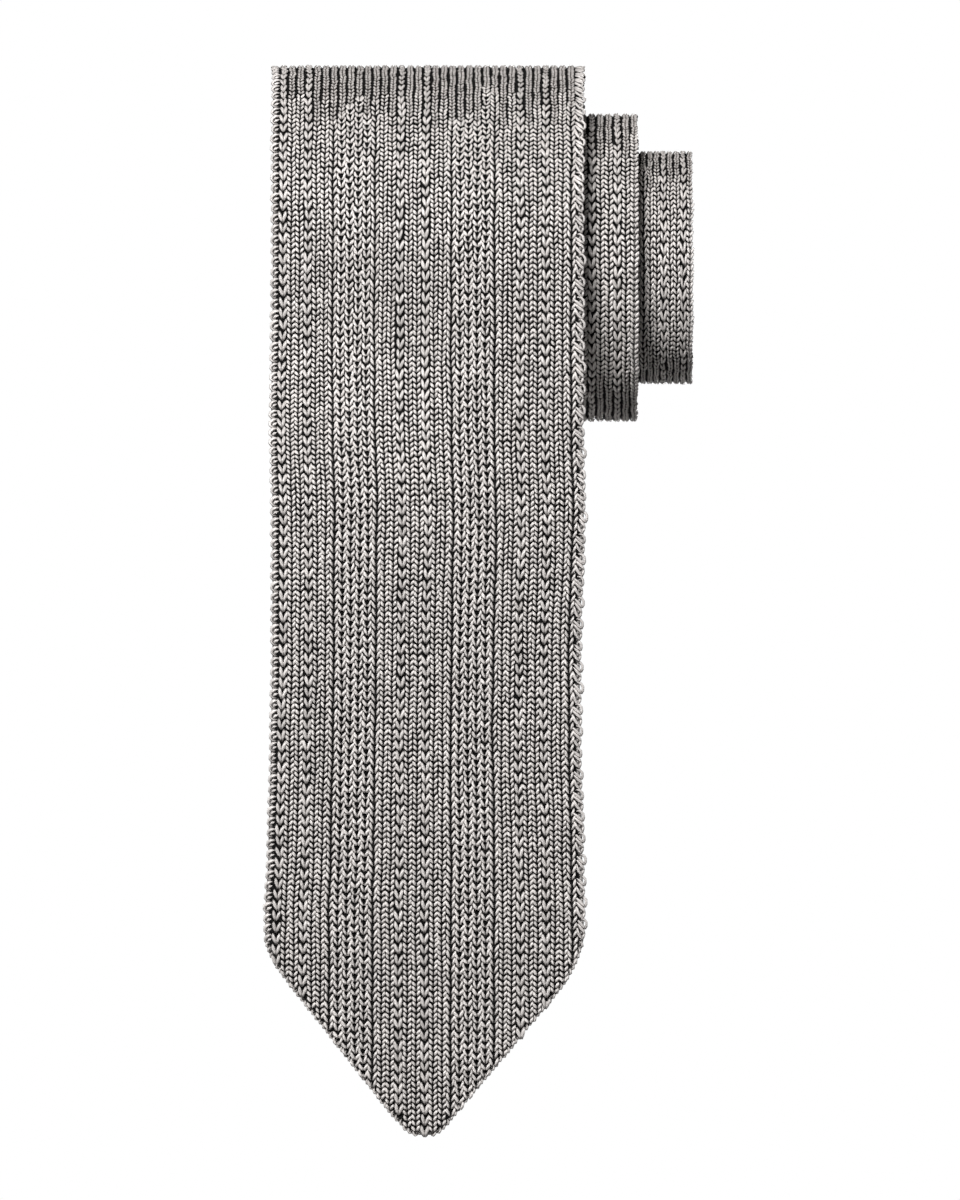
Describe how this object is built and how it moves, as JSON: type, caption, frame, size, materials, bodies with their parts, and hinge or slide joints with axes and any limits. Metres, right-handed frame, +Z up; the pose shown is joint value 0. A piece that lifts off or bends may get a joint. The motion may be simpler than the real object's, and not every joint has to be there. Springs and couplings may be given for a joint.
{
  "type": "knit tie",
  "caption": "Silver-grey knitted tie with a pointed blade, folded at the neck, rolled up loosely and hanging from the roll, its turns standing out to one side.",
  "frame": {"origin": "on the axis of the roll, behind the middle of the hanging blade, where a rod or a rolled card carries the tie", "axes": "+Z up along the hanging blade, -Y out of the blade's face towards the viewer, +X along the roll towards the side on which its turns stand out"},
  "size_m": [0.107, 0.0952, 0.2677],
  "materials": {
    "silk_knit": "knitted silk yarn with a soft sheen"
  },
  "bodies": {
    "root": {"wide_half": "silk_knit", "tail_half": "silk_knit"}
  },
  "joints": []
}
